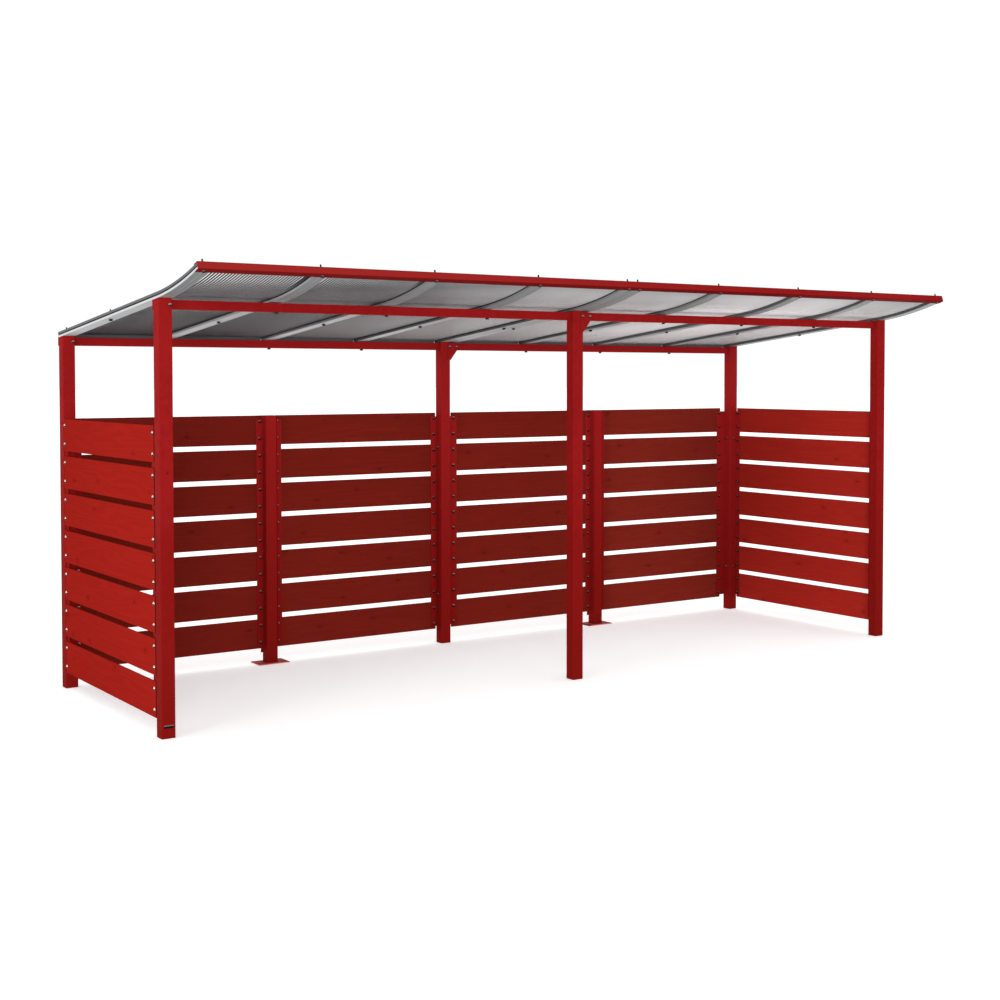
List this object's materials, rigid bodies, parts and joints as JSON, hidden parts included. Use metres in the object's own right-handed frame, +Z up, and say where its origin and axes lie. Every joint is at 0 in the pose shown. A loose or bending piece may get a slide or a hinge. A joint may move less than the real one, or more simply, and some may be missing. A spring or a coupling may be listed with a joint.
{
  "type": "bike shelter",
  "caption": "Open-fronted bike shelter with a steel tube frame, slatted board walls on three sides and a glazed lean-to roof that turns up at the front.",
  "frame": {"origin": "on the ground under the middle of the whole shelter, roof overhangs and base plates included", "axes": "+X along the length, +Y from the open front to the back wall, +Z up"},
  "size_m": [5.08, 2.0642, 2.2765],
  "materials": {
    "red_steel": "satin powder coat",
    "boards": "red stain with visible grain",
    "bar_metal": "mill finish",
    "trim_metal": "dark grey coat",
    "gasket": "matt",
    "sheet": "smoky twin-wall sheet"
  },
  "bodies": {
    "root": {"post_front_left": "red_steel", "post_front_middle": "red_steel", "post_front_right": "red_steel", "post_back_left": "red_steel", "post_back_middle": "red_steel", "post_back_right": "red_steel", "short_post_left": "red_steel", "short_post_right": "red_steel", "front_beam_left": "red_steel", "front_beam_right": "red_steel", "back_beam_left": "red_steel", "back_beam_right": "red_steel", "joint_brackets": "red_steel", "front_edge_channel": "red_steel", "glazing_bar_1": "bar_metal", "glazing_bar_2": "bar_metal", "glazing_bar_3": "bar_metal", "glazing_bar_4": "bar_metal", "glazing_bar_5": "bar_metal", "glazing_bar_6": "bar_metal", "glazing_bar_7": "bar_metal", "glazing_bar_8": "bar_metal", "glazing_bar_9": "bar_metal", "glazing_bar_10": "bar_metal", "roof_sheet_1": "sheet", "roof_sheet_2": "sheet", "roof_sheet_3": "sheet", "roof_sheet_4": "sheet", "roof_sheet_5": "sheet", "roof_sheet_6": "sheet", "roof_sheet_7": "sheet", "roof_sheet_8": "sheet", "gaskets": "gasket", "cover_strips": "trim_metal", "back_boards_1": "boards", "back_boards_2": "boards", "back_boards_3": "boards", "back_boards_4": "boards", "left_boards": "boards", "right_boards": "boards", "back_angles_left": "red_steel", "back_angles_right": "red_steel", "left_angles": "red_steel", "right_angles": "red_steel"}
  },
  "joints": []
}
